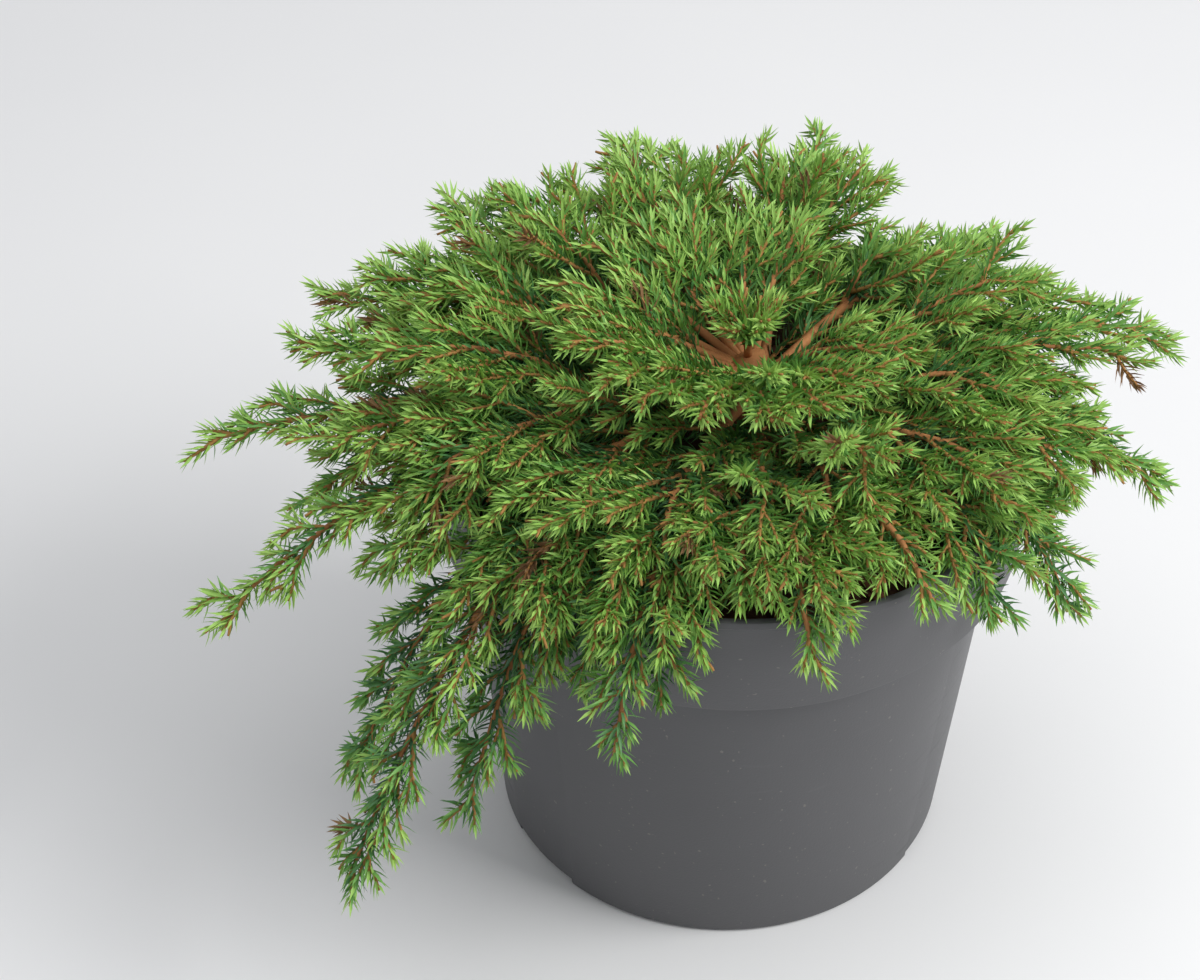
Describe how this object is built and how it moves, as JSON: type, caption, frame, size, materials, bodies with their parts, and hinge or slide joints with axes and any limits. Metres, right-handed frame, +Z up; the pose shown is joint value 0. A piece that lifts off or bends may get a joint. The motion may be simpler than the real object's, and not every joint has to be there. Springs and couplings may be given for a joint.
{
  "type": "potted common juniper",
  "caption": "Low spreading common juniper with needled plumes radiating from a short stem over the rim of a round plastic nursery pot.",
  "frame": {"origin": "centre of the pot's flat underside, on the ground", "axes": "+Z up along the pot's axis; -Y towards the side the picture shows; +X to its right"},
  "size_m": [0.3296, 0.2603, 0.2428],
  "materials": {
    "pot": "matte dark grey moulded plastic with faint scuffs",
    "soil": "damp bark and peat mix",
    "bark": "thin flaking orange-brown bark",
    "needles": "satin green needles, yellow-green at the tips"
  },
  "bodies": {
    "root": {"pot": "pot", "soil": "soil", "stem": "bark", "bough_01": "bark", "bough_02": "bark", "bough_03": "bark", "bough_04": "bark", "bough_05": "bark", "bough_06": "bark", "bough_07": "bark", "bough_08": "bark", "bough_09": "bark", "bough_10": "bark", "bough_11": "bark", "bough_12": "bark", "bough_13": "bark", "bough_14": "bark", "inner_bough_01": "bark", "inner_bough_02": "bark", "inner_bough_03": "bark", "inner_bough_04": "bark", "inner_bough_05": "bark", "plume_01": "needles", "plume_02": "needles", "plume_03": "needles", "plume_04": "needles", "plume_05": "needles", "plume_06": "needles", "plume_07": "needles", "plume_08": "needles", "plume_09": "needles", "plume_10": "needles", "plume_11": "needles", "plume_12": "needles", "plume_13": "needles", "plume_14": "needles", "tuft_01": "needles", "tuft_02": "needles", "tuft_03": "needles", "tuft_04": "needles", "tuft_05": "needles", "tuft_top": "needles"}
  },
  "joints": []
}
